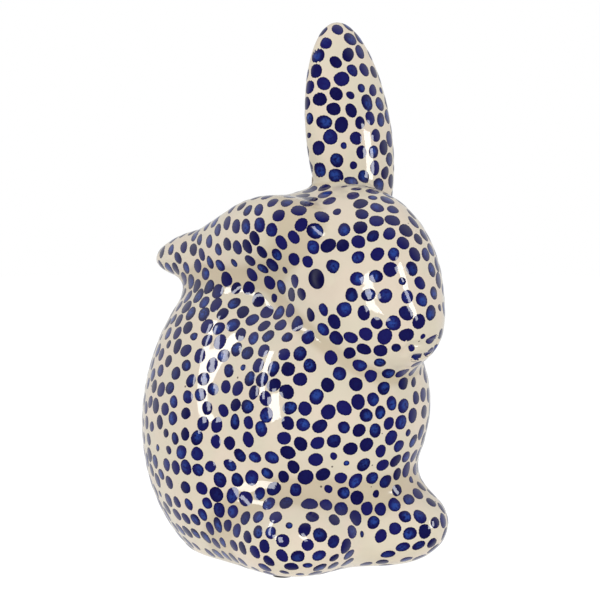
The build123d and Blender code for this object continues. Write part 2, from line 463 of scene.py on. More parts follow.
# %% Mesh helpers
def read(items, name, width, kind=float):
    """One value of every item of a mesh, as rows of so many numbers."""
    values = np.empty(len(items) * width, kind)
    items.foreach_get(name, values)
    return values.reshape(-1, width)


def store(mesh, name, values, kind="FLOAT", domain="POINT"):
    """Keeps values on a mesh under a name, where nodes can read them."""
    key = "vector" if kind == "FLOAT_VECTOR" else "value"
    mesh.attributes.new(name, kind, domain).data.foreach_set(key, np.ravel(values))


def new_object(name, points, faces):
    """An object made of points and faces, put into the scene."""
    mesh = bpy.data.meshes.new(name)
    mesh.from_pydata([tuple(point) for point in points], [], [tuple(face) for face in faces])
    made = bpy.data.objects.new(name, mesh)
    bpy.context.scene.collection.objects.link(made)
    return made


def baked(made, name):
    """An object's mesh with its modifiers applied, as a mesh of its own."""
    graph = bpy.context.evaluated_depsgraph_get()
    mesh = bpy.data.meshes.new_from_object(made.evaluated_get(graph))
    mesh.name = name
    return mesh


# %% Push balls out to the masses, and join them
ball_fineness = 5
ball = bmesh.new()
bmesh.ops.create_icosphere(ball, subdivisions=ball_fineness, radius=1)
ball_rays = np.array([point.co for point in ball.verts])
ball_faces = np.array([[point.index for point in face.verts] for face in ball.faces])
ball.free()

heap_points, heap_faces = [], []
for mass in masses.values():
    lengths = mass.reach(mass.heart, ball_rays)
    shell = mass.world(mass.heart + ball_rays * lengths[:, None])
    shell[:, 2] = np.maximum(shell[:, 2], pad_thickness)
    heap_faces.append(ball_faces + len(ball_rays) * len(heap_points))
    heap_points.append(shell)
heap = new_object("heap", np.concatenate(heap_points), np.concatenate(heap_faces))

# %% Remesh the heap and slide it on to the skin
net_spacing = 0.00125
smoothing_rounds = 3


def even_net(shape):
    """The points and quads of an even net over a shape, which is used up."""
    remesh = shape.modifiers.new("remesh", "REMESH")
    remesh.mode = "VOXEL"
    remesh.voxel_size = net_spacing
    net = baked(shape, "net")
    bpy.data.objects.remove(shape)
    return read(net.vertices, "co", 3), read(net.loops, "vertex_index", 1, int).reshape(-1, 4)


points, faces = even_net(heap)
points, faces = even_net(new_object("slid heap", onto_skin(points), faces))
edges = np.concatenate([faces[:, [0, 1]], faces[:, [1, 2]], faces[:, [2, 3]], faces[:, [3, 0]]])


def smoothed(points):
    """Each point moved to the middle of its neighbours."""
    count = np.bincount(edges[:, 0], minlength=len(points))
    count = count + np.bincount(edges[:, 1], minlength=len(points))
    total = np.stack([
        np.bincount(edges[:, 0], points[edges[:, 1], axis], len(points))
        + np.bincount(edges[:, 1], points[edges[:, 0], axis], len(points))
        for axis in range(3)], 1)
    return total / count[:, None]


points = onto_skin(points)
for _ in range(smoothing_rounds):
    points = onto_skin(smoothed(points), rounds=1)
points = onto_skin(points, rounds=2)
slope, level = slope_and_level(points)
across = np.cross(points[faces[:, 2]] - points[faces[:, 0]],
                  points[faces[:, 3]] - points[faces[:, 1]])
turned_over = int(((across * slope[faces[:, 0]]).sum(1) < 0).sum())
print("skin:", len(points), "points,", len(faces), "quads, off by at most",
      round(float(np.abs(level).max()) * 1000, 3), "mm;", turned_over, "quads turned over")

# %% [markdown]
# ## Back into castings
#
# The skin is parted again where one casting stops and the next starts: each quad goes to the
# casting that it is nearest to, and the feet part in the middle. Points on a parting line
# slide along the skin on to the line itself, so that the pieces meet on a clean curve.

# %% Give each quad to a casting
castings = {"body_casting": ("trunk", 0), "right_foot": ("feet", 1), "left_foot": ("feet", -1),
            "head_casting": ("head", 0), "upright_ear": ("upright ear", 0),
            "laid_back_ear": ("laid-back ear", 0), "tail": ("tail", 0)}
names = list(castings)


def distance_to_each(points):
    """How far points are from each casting; a foot stops at the middle of the figure."""
    columns = []
    for mass, side in castings.values():
        own = masses[mass].distance(points)
        columns.append(np.maximum(own, side * (points[:, 0] - moved.x)) if side else own)
    return np.stack(columns, 1)


owner = distance_to_each(points[faces].mean(1)).argmin(1)
first = np.full(len(points), -1)
second = np.full(len(points), -1)
for at in faces.T:
    first[at] = owner
for at in faces.T:
    other = owner != first[at]
    second[at[other]] = owner[other]
seam = np.flatnonzero(second >= 0)

# %% Slide the seams on to their parting lines
seam_rounds = 3

normals = unit(slope)


def seam_gap(at):
    """How much nearer each seam point is to its second casting than to its first."""
    own = distance_to_each(at)
    rows = np.arange(len(at))
    return own[rows, first[seam]] - own[rows, second[seam]]


for _ in range(seam_rounds):
    at = points[seam]
    gap = seam_gap(at)
    rise = np.stack([(seam_gap(at + step) - gap) / probe for step in np.eye(3) * probe], 1)
    out = normals[seam]
    rise -= out * (rise * out).sum(1)[:, None]
    move = rise * (gap / np.maximum((rise**2).sum(1), least_steep))[:, None]
    length = np.linalg.norm(move, axis=1)[:, None]
    move *= np.minimum(1, net_spacing / 2 / np.maximum(length, tiny))
    points[seam] = onto_skin(at - move, rounds=1)
normals = unit(slope_and_level(points)[0])
print("points on parting lines:", len(seam))

# %% [markdown]
# ## Nodes in a few words
#
# One small function adds a node with its settings and links, in a material or in a Geometry
# Nodes tree. Colours are written as sRGB hex and turned to linear, as Blender expects.

# %% Node helpers
def linear(code):
    """A linear colour from an sRGB hex code."""
    parts = [int(code[at:at + 2], 16) / 255 for at in (1, 3, 5)]
    return tuple(p / 12.92 if p <= 0.04045 else ((p + 0.055) / 1.055) ** 2.4
                 for p in parts) + (1,)


def add(tree, kind, *given, out=0, **named):
    """Adds a node. A name in small letters is a setting, one with a capital is an input, and
    what is given in order goes to the live inputs. A value may be another node's output.
    Returns the node's first live output, the one asked for by name, or the node for None."""
    node = tree.nodes.new(kind)
    for name in [key for key in named if key[0].islower()]:
        setattr(node, name, named.pop(name))
    pairs = list(zip([socket for socket in node.inputs if socket.enabled], given))
    pairs += [(node.inputs[name.replace("_", " ")], value) for name, value in named.items()]
    for socket, value in pairs:
        if isinstance(value, bpy.types.NodeSocket):
            tree.links.new(value, socket)
        else:
            socket.default_value = value
    if out is None or not node.outputs:
        return node
    return node.outputs[out] if out else next(end for end in node.outputs if end.enabled)


def new_material(name):
    """A material without any nodes, and its tree."""
    made = bpy.data.materials.new(name)
    made.use_nodes = True
    made.node_tree.nodes.clear()
    return made, made.node_tree


soft = {"interpolation_type": "SMOOTHSTEP"}
colours = {"data_type": "RGBA"}

# %% [markdown]
# ## Glazed earthenware
#
# The clay fires to a warm cream, pinker in one place and yellower in the next. Iron in it
# leaves a dark speck here and there. In a crease the colour is darker: partly clear glaze that
# pools there thicker, partly painted shade. It is as smooth as glass and very slightly wavy, so
# windows show in it with edges that tremble a little.

# %% Glazed slip-cast earthenware
mottle_size = 0.022
mottle_range = (0.35, 0.65)
pool_and_shade_depth = 0.0015
pool_and_shade_share = 0.55
speck_spacing = 0.014
speck_radius = 0.00045
speck_blur_share = 1.6
speck_share = 0.85
wave_size = 0.009
wave_height = 0.00002
fired_gloss_roughness = 0.03
glaze_ior = 1.5

glaze, tree = new_material("glazed_slip_cast_earthenware")
spot = add(tree, "ShaderNodeTexCoord", out="Object")
mottle = add(tree, "ShaderNodeTexNoise", Vector=spot, Scale=1 / mottle_size, Detail=2.0)
mottle = add(tree, "ShaderNodeMapRange", mottle, *mottle_range, 0.0, 1.0, **soft)
colour = add(tree, "ShaderNodeMix", mottle, linear("#ebdcc8"), linear("#e6dcc6"), **colours)
# The darker crease colour is partly pooled glaze and partly painted shade, deeper where slip fills
# the seam
fill = add(tree, "ShaderNodeAttribute", out="Fac", attribute_name="fill")
pooled_glaze_and_shade = add(tree, "ShaderNodeMapRange", fill, 0.0, pool_and_shade_depth, 0.0, pool_and_shade_share, **soft)
colour = add(tree, "ShaderNodeMix", pooled_glaze_and_shade, colour, linear("#c4b393"), **colours)
speck = add(tree, "ShaderNodeTexVoronoi", out="Distance", Vector=spot, Scale=1 / speck_spacing)
speck = add(tree, "ShaderNodeMapRange", speck, speck_radius / speck_spacing,
            speck_blur_share * speck_radius / speck_spacing, speck_share, 0.0, **soft)
colour = add(tree, "ShaderNodeMix", speck, colour, linear("#3a2c24"), **colours)
waves = add(tree, "ShaderNodeTexNoise", Vector=spot, Scale=1 / wave_size, Detail=0.0)
waves = add(tree, "ShaderNodeBump", Height=waves, Strength=1.0, Distance=wave_height)
clay = add(tree, "ShaderNodeBsdfPrincipled", Base_Color=colour, Roughness=fired_gloss_roughness,
           IOR=glaze_ior, Normal=waves)
add(tree, "ShaderNodeOutputMaterial", Surface=clay)

# %% [markdown]
# ## Bare clay
#
# The base is wiped clean before the firing so that the figure doesn't stick to the kiln
# shelf, and the inside is never glazed. Fired clay without glaze is dull, pinker and as
# grainy as fine sandpaper.

# %% Unglazed fired earthenware
grain_size = 0.0008
grain_height = 0.0001
grain_strength = 0.6
bare_clay_roughness = 0.85

bare_clay, tree = new_material("unglazed_fired_earthenware")
spot = add(tree, "ShaderNodeTexCoord", out="Object")
grain = add(tree, "ShaderNodeTexNoise", Vector=spot, Scale=1 / grain_size, Detail=3.0)
colour = add(tree, "ShaderNodeMix", grain, linear("#c9ab8c"), linear("#dcc4a8"), **colours)
rough = add(tree, "ShaderNodeBump", Height=grain, Strength=grain_strength, Distance=grain_height)
clay = add(tree, "ShaderNodeBsdfPrincipled", Base_Color=colour, Roughness=bare_clay_roughness,
           Normal=rough)
add(tree, "ShaderNodeOutputMaterial", Surface=clay)

# %% [markdown]
# ## Cobalt blue under the glaze
#
# Each dab has its own tone. The colour runs to its rim as it dries and leaves a thinner,
# brighter patch where the brush lifted off, streaked by the hairs. The glaze over it shines
# as it does elsewhere.

# %% Cobalt dabs
tone_range = (0.1, 0.9)
lift_spot = (0.18, 0.06, 0.0)
lift_range = (0.2, 0.85)
streak_size = 0.0016
streak_range = (0.28, 0.6)
wash_range = (0.35, 1.0)
least_wash = 0.05
rim_range = (0.72, 0.97)
rim_share = 0.7
dab_wave_size = 0.003
dab_wave_height = 0.00004
dab_roughness = 0.04

cobalt, tree = new_material("cobalt_underglaze_dabs")
spot = add(tree, "ShaderNodeTexCoord", out="Object")
tone = add(tree, "ShaderNodeAttribute", out="Fac", attribute_name="tone")
tone = add(tree, "ShaderNodeMapRange", tone, *tone_range, 0.0, 1.0, **soft)
deep = add(tree, "ShaderNodeMix", tone, linear("#13104a"), linear("#1d1b60"), **colours)
on_dab = add(tree, "ShaderNodeAttribute", out="Vector", attribute_name="spot")
lifted = add(tree, "ShaderNodeVectorMath", on_dab, lift_spot, operation="DISTANCE")
lifted = add(tree, "ShaderNodeMapRange", lifted, *lift_range, 1.0, 0.0, **soft)
streaks = add(tree, "ShaderNodeTexNoise", Vector=spot, Scale=1 / streak_size, Detail=2.0)
streaks = add(tree, "ShaderNodeMapRange", streaks, *streak_range, 0.0, 1.0, **soft)
wash = add(tree, "ShaderNodeAttribute", out="Fac", attribute_name="wash")
wash = add(tree, "ShaderNodeMapRange", wash, *wash_range, least_wash, 1.0, **soft)
patch = add(tree, "ShaderNodeMath", lifted, streaks, operation="MULTIPLY")
patch = add(tree, "ShaderNodeMath", patch, wash, operation="MULTIPLY")
blue = add(tree, "ShaderNodeMix", patch, deep, linear("#2c4a9c"), **colours)
rim = add(tree, "ShaderNodeAttribute", out="Fac", attribute_name="across")
rim = add(tree, "ShaderNodeMapRange", rim, *rim_range, 0.0, rim_share, **soft)
blue = add(tree, "ShaderNodeMix", rim, blue, linear("#0f0c38"), **colours)
waves = add(tree, "ShaderNodeTexNoise", Vector=spot, Scale=1 / dab_wave_size, Detail=2.0)
waves = add(tree, "ShaderNodeBump", Height=waves, Strength=1.0, Distance=dab_wave_height)
painted = add(tree, "ShaderNodeBsdfPrincipled", Base_Color=blue, Roughness=dab_roughness,
              IOR=glaze_ior, Normal=waves)
add(tree, "ShaderNodeOutputMaterial", Surface=painted)

# %% [markdown]
# ## Felt
#
# Pressed wool has no weave. Its tangled fibres take the light softly, and a little sheen
# stands for the loose ends on its face.

# %% Pressed wool felt
fibre_size = 0.0004
fuzz_height = 0.0001
fuzz_sheen = 0.4
felt_roughness = 0.95

felt, tree = new_material("pressed_wool_felt")
spot = add(tree, "ShaderNodeTexCoord", out="Object")
fibres = add(tree, "ShaderNodeTexNoise", Vector=spot, Scale=1 / fibre_size, Detail=4.0)
colour = add(tree, "ShaderNodeMix", fibres, linear("#2a2724"), linear("#4b4641"), **colours)
fuzz = add(tree, "ShaderNodeBump", Height=fibres, Strength=1.0, Distance=fuzz_height)
wool = add(tree, "ShaderNodeBsdfPrincipled", Base_Color=colour, Roughness=felt_roughness,
           Sheen_Weight=fuzz_sheen, Normal=fuzz)
add(tree, "ShaderNodeOutputMaterial", Surface=wool)
print("materials:", [made.name for made in (glaze, bare_clay, cobalt, felt)])

# %% [markdown]
# ## The cast pieces
#
# Each piece takes its quads from the skin and keeps the skin's own normals, so that light
# runs over a seam as if it weren't there. Solidify gives it the wall of the casting, and
# Decimate thins out the inside, which nobody sees. A round punch cuts the drain hole.

# %% A form made ring by ring, and the punch for the drain hole
wall = 0.0045
inside_share = 0.1
drain_radius = 0.007
drain_corners = 48


def turned_form(profile, corners):
    """The points and faces of a closed round form, and where each ring starts. The profile
    goes from the top to the bottom and gives each ring's share of the radius and height."""
    points, starts = [], []
    for share, height in profile:
        starts.append(len(points))
        for turn in np.linspace(0, 2 * math.pi, corners if share else 1, endpoint=False):
            points.append((math.cos(turn) * share, math.sin(turn) * share, height))
    faces = []
    for corner in range(corners):
        after = (corner + 1) % corners
        faces.append((0, starts[1] + corner, starts[1] + after))
        for here, there in zip(starts[1:-2], starts[2:-1]):
            faces.append((here + corner, there + corner, there + after, here + after))
        faces.append((starts[-2] + after, starts[-2] + corner, starts[-1]))
    return points, faces, starts


punch, punch_faces, _ = turned_form([(0, 3 * wall), (1, 3 * wall), (1, -wall), (0, -wall)],
                                    drain_corners)
drain_tool = new_object("drain_tool", [
    (x * drain_radius + moved.x, y * drain_radius + trunk_back + moved.y, z)
    for x, y, z in punch], punch_faces)

# %% Cut a casting out of the skin
def cast_piece(name, number):
    """One casting: its part of the skin, with a wall behind it."""
    own_faces = faces[owner == number]
    used = np.unique(own_faces)
    renumber = np.full(len(points), -1)
    renumber[used] = np.arange(len(used))
    piece = new_object(name + "_glazed", points[used], renumber[own_faces])
    piece.vertex_groups.new(name="inside")
    thick = piece.modifiers.new("wall", "SOLIDIFY")
    thick.thickness = wall
    thick.offset = -1
    thick.use_rim = True
    thick.shell_vertex_group = "inside"
    thin = piece.modifiers.new("thin inside", "DECIMATE")
    thin.vertex_group = "inside"
    # The outside is half of the faces and stays whole
    thin.ratio = (1 + inside_share) / 2
    if name == "body_casting":
        drain = piece.modifiers.new("drain", "BOOLEAN")
        drain.object = drain_tool
        drain.solver = "EXACT"
    mesh = baked(piece, name + "_glazed")
    piece.modifiers.clear()
    old = piece.data
    piece.data = mesh
    bpy.data.meshes.remove(old)
    return piece


# %% Shade and glaze it
near_skin = wall / 10
off_skin = wall / 3


def finish_casting(mesh):
    """Shades a piece by the exact skin where it lies on it, and glazes it there only."""
    points = read(mesh.vertices, "co", 3)
    own = read(mesh.vertex_normals, "vector", 3)
    slope, level = slope_and_level(points)
    outside = np.abs(level) < near_skin
    nearest = np.stack([mass.distance(points) for mass in masses.values()], 1).min(1)
    store(mesh, "fill", np.where(outside, np.maximum(nearest, 0), 0))

    on_base = points[:, 2] < pad_thickness + under_dabs
    centres = read(mesh.polygons, "center", 3)
    bare_faces = np.abs(skin_distance(centres)) > off_skin
    bare_faces |= centres[:, 2] < pad_thickness + 2 * under_dabs
    mesh.materials.clear()
    mesh.materials.append(glaze)
    mesh.materials.append(bare_clay)
    mesh.polygons.foreach_set("material_index", bare_faces.astype(int))
    mesh.polygons.foreach_set("use_smooth", [True] * len(mesh.polygons))
    mesh.normals_split_custom_set_from_vertices(
        np.where((outside & ~on_base)[:, None], unit(slope), own).tolist())


for number, name in enumerate(names):
    piece = cast_piece(name, number)
    finish_casting(piece.data)
    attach(piece, "root")
    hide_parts(name)
    print(name, len(piece.data.polygons), "faces")
bpy.data.objects.remove(drain_tool)

# %% [markdown]
# ## One dab of colour
#
# A loaded round brush leaves a low flat dome of slip, sunk a little in the glaze at its rim.
# Its mesh is a small lens of unit radius. Each point remembers where it lies in the dab and
# how far out it is. Its height is kept aside, for when the dab is pressed on to the skin.

# %% The lens
dab_crown = 0.00017
dab_edge_power = 8
dab_sunk = 0.00005
dab_bottom = -0.00012


class Lens:
    """A low dome of unit radius over its underside, made ring by ring."""

    def __init__(self, corners, top_shares, under_shares):
        profile = [(share, dab_crown * (1 - share**dab_edge_power) - dab_sunk)
                   for share in (0, *top_shares)]
        profile += [(share, dab_bottom) for share in (*under_shares, 0)]
        points, self.faces, starts = turned_form(profile, corners)
        self.points = [(x, y, 0) for x, y, _ in points]
        self.heights = [height for _, _, height in points]
        self.across = [math.hypot(x, y) for x, y, _ in points]
        self.top_count = starts[len(top_shares) + 1]
        self.top_faces = [face for face in self.faces if max(face) < self.top_count]


dab = Lens(corners=14, top_shares=(0.5, 0.93, 1.0), under_shares=(0.7,))
lens = new_object("lens", dab.points, dab.faces)
store(lens.data, "across", dab.across)
store(lens.data, "spot", dab.points, "FLOAT_VECTOR")
print("a dab has", len(dab.faces), "faces")

# %% [markdown]
# ## Dabs all over, with Geometry Nodes
#
# Poisson sampling scatters points that keep a least distance. Then each point steps away from
# its nearest neighbour a few times, which evens them out as a decorator does by eye. Each
# point gets a dab with its own size, turn and tone. The tree runs once for each casting, on
# the same points, and keeps its own. No dab falls on the base, in the gap between the feet or
# close to an eye.

# %% The skin that the dabs are scattered on
base_band = 0.003
facing_down = -0.8
feet_gap_half_width = 0.005
feet_gap_up = 0.032
eye_fields = ((0.0145, 0.0090), (0.0094, 0.0112))

skin = new_object("skin", points, faces)
bare = (normals[:, 2] < facing_down) & (points[:, 2] < pad_thickness + base_band)
bare |= ((np.abs(points[:, 0] - moved.x) < feet_gap_half_width)
         & (points[:, 2] < feet_gap_up) & (points[:, 1] < -foot_front))
for side in (-1, 1):
    for front, radius in eye_fields:
        field = head.world(beside(side, front))
        bare |= np.linalg.norm(points - field, axis=1) < radius
store(skin.data, "bare", bare.astype(float))
store(skin.data, "casting", owner, "INT", "FACE")
print("bare points:", int(bare.sum()), "of", len(points))

# %% The tree and its inputs
dab_distance = 0.0072
dab_wished_distance = 0.0089
dab_steps = 9
dab_radius = 0.00416
dab_uneven = 0.00025

scatter = bpy.data.node_groups.new("dabs on skin", "GeometryNodeTree")
scatter.interface.new_socket("Geometry", in_out="OUTPUT", socket_type="NodeSocketGeometry")
input_ids = {}
for name, kind, value in (
        ("Geometry", "Geometry", None), ("Casting", "Int", None),
        ("Distance", "Float", dab_distance), ("Wished distance", "Float", dab_wished_distance),
        ("Steps", "Int", dab_steps), ("Radius", "Float", dab_radius),
        ("Uneven", "Float", dab_uneven), ("Lens", "Object", None),
        ("Material", "Material", None)):
    made = scatter.interface.new_socket(name, in_out="INPUT", socket_type="NodeSocket" + kind)
    input_ids[name] = made.identifier
    if value is not None:
        made.default_value = value
given = add(scatter, "NodeGroupInput", out=None).outputs

# %% Scatter, and step apart
most_dabs = 60000.0
stride_share = 0.4

bare_here = add(scatter, "GeometryNodeInputNamedAttribute", "bare")
clear = add(scatter, "ShaderNodeMath", 1.0, bare_here, operation="SUBTRACT")
spots = add(scatter, "GeometryNodeDistributePointsOnFaces", distribute_method="POISSON",
            Mesh=given["Geometry"], Distance_Min=given["Distance"],
            Density_Max=most_dabs, Density_Factor=clear, Seed=7)

end = add(scatter, "GeometryNodeRepeatOutput", out=None)
begin = add(scatter, "GeometryNodeRepeatInput", out=None)
begin.pair_with_output(end)
scatter.links.new(given["Steps"], begin.inputs["Iterations"])
scatter.links.new(spots, begin.inputs["Geometry"])
going = begin.outputs["Geometry"]
here = add(scatter, "GeometryNodeInputPosition")
nearest = add(scatter, "GeometryNodeIndexOfNearest")
there = add(scatter, "GeometryNodeSampleIndex", going, here, nearest, data_type="FLOAT_VECTOR")
apart = add(scatter, "ShaderNodeVectorMath", here, there, operation="SUBTRACT")
length = add(scatter, "ShaderNodeVectorMath", apart, operation="LENGTH")
short_of = add(scatter, "ShaderNodeMath", given["Wished distance"], length, operation="SUBTRACT")
short_of = add(scatter, "ShaderNodeMath", short_of, 0.0, operation="MAXIMUM")
stride = add(scatter, "ShaderNodeMath", short_of, stride_share, operation="MULTIPLY")
stride = add(scatter, "ShaderNodeMath", stride, length, operation="DIVIDE")
away = add(scatter, "ShaderNodeVectorMath", apart, stride, operation="SCALE")
stepped = add(scatter, "GeometryNodeSetPosition", Geometry=going, Offset=away)
on_skin = add(scatter, "GeometryNodeProximity", given["Geometry"], target_element="FACES")
stepped = add(scatter, "GeometryNodeSetPosition", Geometry=stepped, Position=on_skin)
scatter.links.new(stepped, end.inputs["Geometry"])

# %% Keep a casting's own dabs, upright on the skin
casting = add(scatter, "GeometryNodeInputNamedAttribute", "casting", data_type="INT")
casting = add(scatter, "GeometryNodeSampleNearestSurface", given["Geometry"], casting,
              data_type="INT")
elsewhere = add(scatter, "FunctionNodeCompare", casting, given["Casting"],
                data_type="INT", operation="NOT_EQUAL")
on_bare = add(scatter, "GeometryNodeSampleNearestSurface", given["Geometry"], bare_here)
on_bare = add(scatter, "ShaderNodeMath", on_bare, 0.5, operation="GREATER_THAN")
dropped = add(scatter, "FunctionNodeBooleanMath", elsewhere, on_bare, operation="OR")
kept = add(scatter, "GeometryNodeDeleteGeometry", end.outputs["Geometry"], dropped,
           domain="POINT")
up = add(scatter, "GeometryNodeInputNormal")
up = add(scatter, "GeometryNodeSampleNearestSurface", given["Geometry"], up,
         data_type="FLOAT_VECTOR")
upright = add(scatter, "FunctionNodeAlignRotationToVector", axis="Z", Vector=up)
spin = add(scatter, "FunctionNodeRandomValue", 0.0, 2 * math.pi, Seed=11)
spin = add(scatter, "ShaderNodeCombineXYZ", Z=spin)
turned = add(scatter, "FunctionNodeRotateRotation", upright, spin, rotation_space="LOCAL")

# %% Most dabs are nearly full size; a few are small touches of an emptying brush
small_share = 0.08
full_range = (0.88, 1.1)
lost_range = (0.25, 0.55)
long_range = (0.98, 1.12)
short_range = (0.88, 1.0)

full = add(scatter, "FunctionNodeRandomValue", *full_range, Seed=12)
small = add(scatter, "FunctionNodeRandomValue", 0.0, 1.0, Seed=13)
small = add(scatter, "ShaderNodeMath", small, small_share, operation="LESS_THAN")
lost = add(scatter, "FunctionNodeRandomValue", *lost_range, Seed=14)
lost = add(scatter, "ShaderNodeMath", small, lost, operation="MULTIPLY")
touch = add(scatter, "ShaderNodeMath", 1.0, lost, operation="SUBTRACT")
size = add(scatter, "ShaderNodeMath", full, touch, operation="MULTIPLY")
size = add(scatter, "ShaderNodeMath", size, given["Radius"], operation="MULTIPLY")
long = add(scatter, "FunctionNodeRandomValue", *long_range, Seed=15)
long = add(scatter, "ShaderNodeMath", size, long, operation="MULTIPLY")
short = add(scatter, "FunctionNodeRandomValue", *short_range, Seed=16)
short = add(scatter, "ShaderNodeMath", size, short, operation="MULTIPLY")
scale = add(scatter, "ShaderNodeCombineXYZ", long, short, size)

lens_shape = add(scatter, "GeometryNodeObjectInfo", given["Lens"], out="Geometry")
dabs = add(scatter, "GeometryNodeInstanceOnPoints", Points=kept, Instance=lens_shape,
           Rotation=turned, Scale=scale)
for name, seed in (("tone", 17), ("wash", 18)):
    chance = add(scatter, "FunctionNodeRandomValue", 0.0, 1.0, Seed=seed)
    dabs = add(scatter, "GeometryNodeStoreNamedAttribute", domain="INSTANCE",
               Geometry=dabs, Name=name, Value=chance)
real = add(scatter, "GeometryNodeRealizeInstances", dabs)

# %% An uneven brush: every outline is pushed about by a slow noise
dab_noise_size = 0.005
dab_push = 4.0
noise = add(scatter, "ShaderNodeTexNoise", out="Color", Scale=1 / dab_noise_size, Detail=0.0)
centred = add(scatter, "ShaderNodeVectorMath", noise, (0.5, 0.5, 0.5), operation="SUBTRACT")
push = add(scatter, "GeometryNodeInputNamedAttribute", "across")
push = add(scatter, "ShaderNodeMath", given["Uneven"], push, operation="MULTIPLY")
push = add(scatter, "ShaderNodeMath", push, dab_push, operation="MULTIPLY")
push = add(scatter, "ShaderNodeVectorMath", centred, push, operation="SCALE")
real = add(scatter, "GeometryNodeSetPosition", Geometry=real, Offset=push)
painted = add(scatter, "GeometryNodeSetMaterial", Geometry=real, Material=given["Material"])
add(scatter, "NodeGroupOutput", painted)
print("the tree has", len(scatter.nodes), "nodes")

# %% [markdown]
# ## Press the dabs on
#
# The scattered lenses are flat. Their points slide on to the exact skin and rise by their own
# height, so a dab hugs whatever it lies on. A dab that would fold up in a crease is made
# smaller, and left out if that doesn't help. The normals are worked out too: the skin's own,
# tilted outwards as on a low dome.

# %% How a dab lies on the skin
gentle_bend = 0.93
bend_blend = 0.1


def face_turns(corners, faces):
    """The normals of some faces of each dab, as long as the faces are big."""
    return np.stack([np.cross(corners[:, face[1]] - corners[:, face[0]],
                              corners[:, face[-1]] - corners[:, face[0]])
                     for face in faces], 1)


def laid_on_skin(flat, heights, faces):
    """Where the points of flat dabs end, the skin's normals there, and how flat each dab is:
    less than zero when one of its faces has turned over."""
    pressed = onto_skin(flat.reshape(-1, 3))
    slope = unit(slope_and_level(pressed)[0]).reshape(flat.shape)
    raised = pressed.reshape(flat.shape) + slope * heights[:, None]
    faces_up = np.stack([slope[:, face].mean(1) for face in faces], 1)
    flatness = (unit(face_turns(raised, faces)) * faces_up).sum(2).min(1)
    return raised, slope, flatness


def dome_normals(raised, slope, shape):
    """The skin's normals tilted as on a dome; a dab that bends a lot is shaded by its faces."""
    outward = raised - raised[:, :1]
    outward -= slope * (outward * slope).sum(2, keepdims=True)
    radius = np.maximum(np.linalg.norm(outward, axis=2), tiny)
    steep = 2 * dab_crown * (np.array(shape.across) / radius) ** 2
    smooth = unit(slope + outward * steep[..., None])

    turns = face_turns(raised, shape.top_faces)
    own = np.zeros_like(raised)
    for number, face in enumerate(shape.top_faces):
        own[:, list(face)] += turns[:, number:number + 1]
    own[:, shape.top_count:] = slope[:, shape.top_count:]
    bend = (slope * slope[:, :1]).sum(2).min(1)
    by_faces = np.clip((gentle_bend - bend) / bend_blend, 0, 1)[:, None, None]
    return unit(smooth * (1 - by_faces) + unit(own) * by_faces)


# %% Press one lot of dabs
shrink_shares = (1.0, 0.65, 0.6)
least_flatness = 0.35


def press(mesh, shape, lift=0.0):
    """Lays dabs of one shape on the skin, with the shading of smooth domes."""
    flat = read(mesh.vertices, "co", 3).reshape(-1, len(shape.points), 3)
    heights = np.array(shape.heights)
    heights[:shape.top_count] += lift
    raised = np.empty_like(flat)
    slope = np.empty_like(flat)
    folded = np.ones(len(flat), bool)
    for share in shrink_shares:
        middles = flat[folded, :1]
        flat[folded] = middles + (flat[folded] - middles) * share
        raised[folded], slope[folded], flatness = laid_on_skin(flat[folded], heights,
                                                               shape.top_faces)
        folded[folded] = flatness < least_flatness

    paint = bmesh.new()
    paint.from_mesh(mesh)
    gone = np.repeat(folded, len(shape.points))
    bmesh.ops.delete(paint, geom=[v for v, goes in zip(paint.verts, gone) if goes],
                     context="VERTS")
    paint.to_mesh(mesh)
    paint.free()
    raised, slope = raised[~folded], slope[~folded]
    normals = dome_normals(raised, slope, shape)
    mesh.vertices.foreach_set("co", raised.ravel())
    mesh.polygons.foreach_set("use_smooth", [True] * len(mesh.polygons))
    mesh.update()
    mesh.normals_split_custom_set_from_vertices(normals.reshape(-1, 3).tolist())
    return int(folded.sum())


# %% Run the tree for each casting
dab_total = 0
for number, name in enumerate(names):
    scattering = skin.modifiers.new("dabs", "NODES")
    scattering.node_group = scatter
    scattering[input_ids["Casting"]] = number
    scattering[input_ids["Lens"]] = lens
    scattering[input_ids["Material"]] = cobalt
    mesh = baked(skin, name + "_dabs")
    skin.modifiers.clear()
    left_out = press(mesh, dab)
    dabs_piece = bpy.data.objects.new(name + "_dabs", mesh)
    bpy.context.scene.collection.objects.link(dabs_piece)
    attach(dabs_piece, "root")
    count = len(mesh.vertices) // len(dab.points)
    dab_total += count
    print(name, count, "dabs,", len(mesh.polygons), "faces;", left_out, "left out")
bpy.data.objects.remove(skin)
bpy.data.objects.remove(lens)
print("dabs in all:", dab_total)

# %% [markdown]
# ## The eyes
#
# One nearly black oval dab on each side, set by hand on the back half of the eye. So much
# colour lies there that it takes up the glaze, and it shines less than the other dabs.

# %% Dab the eyes
eye_dab_front = 0.0094
eye_dab_half_length = 0.0066
eye_dab_half_height = 0.0056
eye_dab_lift = 0.00012
eye_dab_shine = 0.15

eye_dab = Lens(corners=32, top_shares=(0.2, 0.4, 0.6, 0.8, 0.92, 1.0), under_shares=(0.8, 0.4))
eye_points = [head.world(beside(side, eye_dab_front)
                         + (0, side * x * eye_dab_half_length, y * eye_dab_half_height))
              for side in (-1, 1) for x, y, _ in eye_dab.points]
eye_faces = [tuple(corner + turn * len(eye_dab.points) for corner in face)
             for turn in range(2) for face in eye_dab.faces]
eyes = new_object("eye_dabs", eye_points, eye_faces)
for name, value in (("across", 1.0), ("tone", 0.0), ("wash", 0.0)):
    store(eyes.data, name, [value] * len(eye_points))
press(eyes.data, eye_dab, eye_dab_lift)

thick_cobalt = cobalt.copy()
thick_cobalt.name = "thick_cobalt_eye_dabs"
coat = next(node for node in thick_cobalt.node_tree.nodes if node.type == "BSDF_PRINCIPLED")
coat.inputs["Specular IOR Level"].default_value = eye_dab_shine
eyes.data.materials.append(thick_cobalt)
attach(eyes, "root")
print("the eyes have", len(eyes.data.polygons), "faces")

